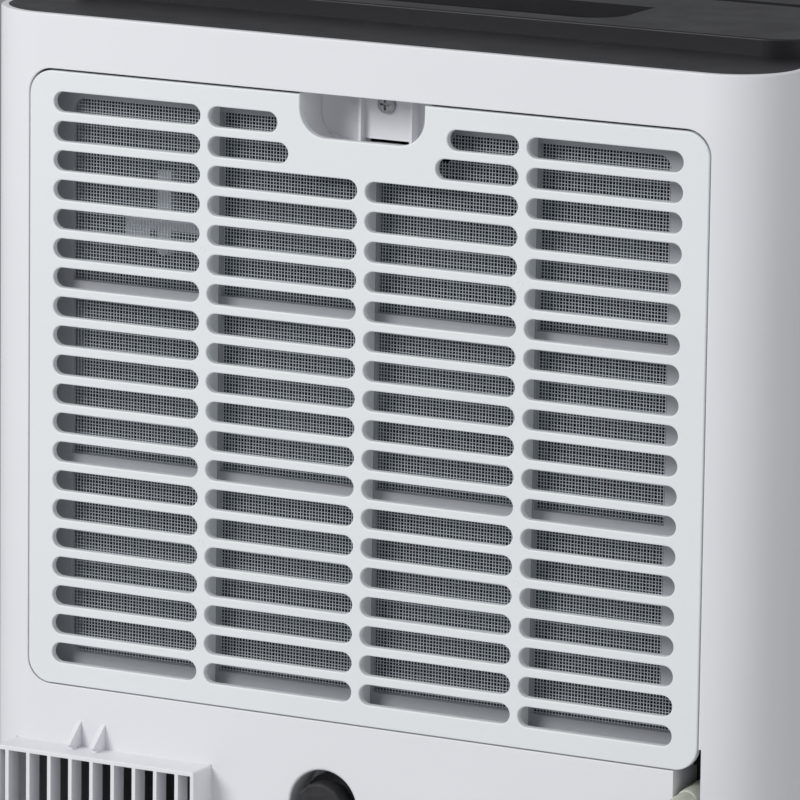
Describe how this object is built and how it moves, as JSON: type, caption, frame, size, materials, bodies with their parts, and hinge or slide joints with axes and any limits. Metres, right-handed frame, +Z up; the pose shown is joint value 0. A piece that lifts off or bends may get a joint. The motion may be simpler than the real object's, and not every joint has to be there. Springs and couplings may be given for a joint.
{
  "type": "portable air conditioner",
  "caption": "Floor-standing room air conditioner on casters, with a slotted rear filter door, barred exhaust outlet, black top with air flap, and mains cord.",
  "frame": {"origin": "middle of the plan box, on the floor under the casters", "axes": "+Z up, +Y towards the back with the filter door and exhaust outlet, +X to the left seen from behind"},
  "size_m": [0.355, 0.4559, 0.703],
  "materials": {
    "white_housing": "fine satin texture",
    "white_door": "satin",
    "black_top": "satin",
    "gloss_panel": "gloss",
    "smoked_lens": "gloss",
    "dark_base": "matte",
    "grey_frame": "satin",
    "filter_net": "woven net",
    "screw_steel": "zinc plated",
    "black_rubber": "matte",
    "coil_fins": "blue coated fins",
    "pale_clip": "satin",
    "dark_wheel": "matte",
    "grey_duct": "matte",
    "motor_steel": "satin",
    "black_paint": "satin",
    "copper": "drawn tube",
    "ivory_jacket": "smooth PVC",
    "grey_button": "satin",
    "wheel_tread": "matte"
  },
  "bodies": {
    "root": {"rear_shell": "white_housing", "front_shell": "white_housing", "top_cap": "black_top", "handle_scoop": "black_top", "control_panel": "gloss_panel", "display_lens": "smoked_lens", "side_grips": "white_housing", "base_pan": "dark_base", "outlet_duct": "dark_base", "finger_pocket": "white_housing", "pocket_screw": "screw_steel", "shell_screws": "screw_steel", "exhaust_frame": "white_housing", "evaporator": "coil_fins", "temperature_sensor": "pale_clip", "blower_scroll": "grey_duct", "blower_motor": "motor_steel", "condenser": "coil_fins", "condenser_scroll": "grey_duct", "condenser_motor": "motor_steel", "compressor": "black_paint", "compressor_feet": "black_rubber", "refrigerant_pipes": "copper", "drain_tray": "grey_duct", "control_box": "grey_duct", "bay_plate": "dark_base", "cord_gland": "ivory_jacket", "cord_tube": "ivory_jacket", "cord_coil": "ivory_jacket", "cord_tie": "black_rubber", "cord_tail": "ivory_jacket", "plug": "ivory_jacket"},
    "filter_door": {"filter_door": "white_door", "filter_frame": "grey_frame", "filter_mesh": "filter_net"},
    "louver_flap": {"louver_flap": "black_top"},
    "lower_grille": {"lower_grille": "white_door", "lower_mesh": "filter_net"},
    "drain_plug": {"drain_plug": "black_rubber"},
    "bottom_drain_plug": {"bottom_drain_plug": "black_rubber"},
    "blower_wheel": {"blower_wheel": "dark_wheel"},
    "condenser_wheel": {"condenser_wheel": "dark_wheel"},
    "button_power": {"button_power": "grey_button"},
    "button_mode": {"button_mode": "grey_button"},
    "button_fan": {"button_fan": "grey_button"},
    "button_down": {"button_down": "grey_button"},
    "button_up": {"button_up": "grey_button"},
    "button_timer": {"button_timer": "grey_button"},
    "vane_1": {"vane_1": "dark_base"},
    "caster_fork_1": {"caster_fork_1": "dark_base"},
    "caster_wheel_1": {"caster_wheel_1": "wheel_tread"},
    "vane_2": {"vane_2": "dark_base"},
    "caster_fork_2": {"caster_fork_2": "dark_base"},
    "caster_wheel_2": {"caster_wheel_2": "wheel_tread"},
    "vane_3": {"vane_3": "dark_base"},
    "caster_fork_3": {"caster_fork_3": "dark_base"},
    "caster_wheel_3": {"caster_wheel_3": "wheel_tread"},
    "vane_4": {"vane_4": "dark_base"},
    "caster_fork_4": {"caster_fork_4": "dark_base"},
    "caster_wheel_4": {"caster_wheel_4": "wheel_tread"}
  },
  "joints": [
    {"name": "door_hinge", "type": "hinge", "parent": "root", "child": "filter_door", "pos_m": [0, 0.1537, 0.4203], "axis": [-1, 0, 0], "range_deg": [0, 60]},
    {"name": "flap_hinge", "type": "hinge", "parent": "root", "child": "louver_flap", "pos_m": [0, -0.09701, 0.69422], "axis": [-1, 0, 0], "range_deg": [0, 70]},
    {"name": "vane_1_swing", "type": "hinge", "parent": "root", "child": "vane_1", "pos_m": [-0.096, -0.11505, 0.65866], "axis": [0, 0.8387, 0.5446], "range_deg": [-35, 35]},
    {"name": "vane_2_swing", "type": "hinge", "parent": "root", "child": "vane_2", "pos_m": [-0.032, -0.11505, 0.65866], "axis": [0, 0.8387, 0.5446], "range_deg": [-35, 35]},
    {"name": "vane_3_swing", "type": "hinge", "parent": "root", "child": "vane_3", "pos_m": [0.032, -0.11505, 0.65866], "axis": [0, 0.8387, 0.5446], "range_deg": [-35, 35]},
    {"name": "vane_4_swing", "type": "hinge", "parent": "root", "child": "vane_4", "pos_m": [0.096, -0.11505, 0.65866], "axis": [0, 0.8387, 0.5446], "range_deg": [-35, 35]},
    {"name": "button_power_press", "type": "slide", "parent": "root", "child": "button_power", "axis": [0, 0, -1], "range_m": [0, 0.0008], "stiffness_N_per_m": 500, "springref_m": -0.0008},
    {"name": "button_mode_press", "type": "slide", "parent": "root", "child": "button_mode", "axis": [0, 0, -1], "range_m": [0, 0.0008], "stiffness_N_per_m": 500, "springref_m": -0.0008},
    {"name": "button_fan_press", "type": "slide", "parent": "root", "child": "button_fan", "axis": [0, 0, -1], "range_m": [0, 0.0008], "stiffness_N_per_m": 500, "springref_m": -0.0008},
    {"name": "button_down_press", "type": "slide", "parent": "root", "child": "button_down", "axis": [0, 0, -1], "range_m": [0, 0.0008], "stiffness_N_per_m": 500, "springref_m": -0.0008},
    {"name": "button_up_press", "type": "slide", "parent": "root", "child": "button_up", "axis": [0, 0, -1], "range_m": [0, 0.0008], "stiffness_N_per_m": 500, "springref_m": -0.0008},
    {"name": "button_timer_press", "type": "slide", "parent": "root", "child": "button_timer", "axis": [0, 0, -1], "range_m": [0, 0.0008], "stiffness_N_per_m": 500, "springref_m": -0.0008},
    {"name": "drain_plug_pull", "type": "slide", "parent": "root", "child": "drain_plug", "axis": [0, 1, 0], "range_m": [0, 0.022]},
    {"name": "bottom_drain_plug_pull", "type": "slide", "parent": "root", "child": "bottom_drain_plug", "axis": [0, 1, 0], "range_m": [0, 0.022]},
    {"name": "lower_grille_pull", "type": "slide", "parent": "root", "child": "lower_grille", "axis": [0, 1, 0], "range_m": [0, 0.03]},
    {"name": "blower_spin", "type": "hinge", "parent": "root", "child": "blower_wheel", "pos_m": [0, -0.075, 0.518], "axis": [0, 1, 0], "continuous": true},
    {"name": "condenser_fan_spin", "type": "hinge", "parent": "root", "child": "condenser_wheel", "pos_m": [-0.05, 0.056, 0.215], "axis": [0, 1, 0], "continuous": true},
    {"name": "caster_1_swivel", "type": "hinge", "parent": "root", "child": "caster_fork_1", "pos_m": [-0.125, -0.118, 0.04], "axis": [0, 0, 1], "continuous": true},
    {"name": "caster_1_roll", "type": "hinge", "parent": "caster_fork_1", "child": "caster_wheel_1", "pos_m": [-0.125, -0.128, 0.018], "axis": [1, 0, 0], "continuous": true},
    {"name": "caster_2_swivel", "type": "hinge", "parent": "root", "child": "caster_fork_2", "pos_m": [0.125, -0.118, 0.04], "axis": [0, 0, 1], "continuous": true},
    {"name": "caster_2_roll", "type": "hinge", "parent": "caster_fork_2", "child": "caster_wheel_2", "pos_m": [0.125, -0.128, 0.018], "axis": [1, 0, 0], "continuous": true},
    {"name": "caster_3_swivel", "type": "hinge", "parent": "root", "child": "caster_fork_3", "pos_m": [-0.125, 0.1, 0.04], "axis": [0, 0, 1], "continuous": true},
    {"name": "caster_3_roll", "type": "hinge", "parent": "caster_fork_3", "child": "caster_wheel_3", "pos_m": [-0.125, 0.09, 0.018], "axis": [1, 0, 0], "continuous": true},
    {"name": "caster_4_swivel", "type": "hinge", "parent": "root", "child": "caster_fork_4", "pos_m": [0.125, 0.1, 0.04], "axis": [0, 0, 1], "continuous": true},
    {"name": "caster_4_roll", "type": "hinge", "parent": "caster_fork_4", "child": "caster_wheel_4", "pos_m": [0.125, 0.09, 0.018], "axis": [1, 0, 0], "continuous": true}
  ],
  "couplings": [
    {"joint": "vane_2_swing", "follows": "vane_1_swing", "ratio": 1},
    {"joint": "vane_3_swing", "follows": "vane_1_swing", "ratio": 1},
    {"joint": "vane_4_swing", "follows": "vane_1_swing", "ratio": 1}
  ]
}
